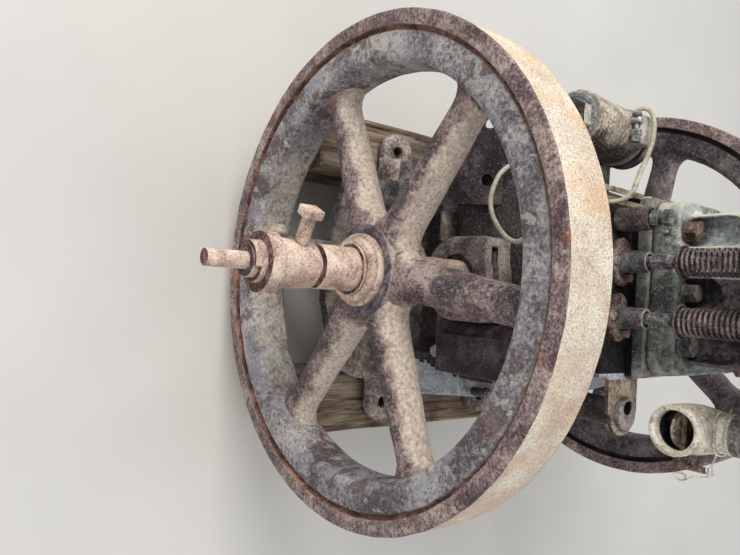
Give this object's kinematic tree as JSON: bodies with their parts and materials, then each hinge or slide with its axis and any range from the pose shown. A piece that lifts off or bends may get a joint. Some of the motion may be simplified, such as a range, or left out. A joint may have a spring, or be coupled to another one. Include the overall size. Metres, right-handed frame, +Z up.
{
  "type": "vertical stationary engine with two flywheels",
  "caption": "Upright single-cylinder stationary engine with open valve springs and a spoked flywheel at each end of its shaft, on two timber bearers.",
  "frame": {"origin": "on the floor under the middle of the crankshaft, between the two bearers", "axes": "+Z up, Y along the crankshaft with the starting-handle end at -Y, +X towards the intake"},
  "size_m": [0.61, 1.049, 0.94],
  "materials": {
    "wheel_iron": "worn blue-grey paint over rust, dusty tread",
    "rusty_iron": "dry purple-brown rust with dust",
    "dusty_iron": "rust under pale dust",
    "dark_iron": "dark oily iron with dust on top",
    "green_paint": "faded green-grey paint, chipped to rust",
    "spring_steel": "rust-brown spring wire",
    "bare_steel": "dull plated steel",
    "timber": "weathered grey-brown timber",
    "lead_sheath": "pale dusty sheath"
  },
  "bodies": {
    "root": {"left_bearer": "timber", "right_bearer": "timber", "crankcase": "green_paint", "front_bearing": "rusty_iron", "rear_bearing": "rusty_iron", "gear_cover": "rusty_iron", "gear_plug": "rusty_iron", "drain_plug": "bare_steel", "cam_box": "dark_iron", "side_post": "dusty_iron", "cylinder_block": "green_paint", "cylinder_head": "green_paint", "spark_plug": "bare_steel", "exhaust_flange": "rusty_iron", "water_outlet": "green_paint", "inlet_guide": "dark_iron", "exhaust_guide": "dark_iron", "inlet_tappet": "dark_iron", "exhaust_tappet": "dark_iron", "inlet_valve": "rusty_iron", "exhaust_valve": "rusty_iron", "inlet_spring": "spring_steel", "exhaust_spring": "spring_steel", "plunger_tube": "rusty_iron", "plunger": "dark_iron", "intake_elbow": "dusty_iron", "throttle_body": "dark_iron", "intake_pipe": "dark_iron", "magneto_shelf": "rusty_iron", "magneto_body": "dusty_iron", "magneto_ring": "dark_iron", "magneto_clamp": "bare_steel", "magneto_cap": "bare_steel", "magneto_lead": "lead_sheath"},
    "crank": {"crankshaft": "rusty_iron", "front_flywheel": "wheel_iron", "rear_flywheel": "wheel_iron", "hub_collar": "dusty_iron", "spacer_sleeve": "dusty_iron", "dog_sleeve": "dusty_iron", "dog_screw": "dusty_iron"},
    "choke": {"choke_disc": "dusty_iron", "choke_lever": "dusty_iron"}
  },
  "joints": [
    {"name": "crank_spin", "type": "hinge", "parent": "root", "child": "crank", "pos_m": [0, 0, 0.33], "axis": [0, 1, 0], "continuous": true},
    {"name": "choke_turn", "type": "hinge", "parent": "root", "child": "choke", "pos_m": [0.148, -0.115, 0.634], "axis": [1, 0, 0], "range_deg": [-11, 79]}
  ]
}
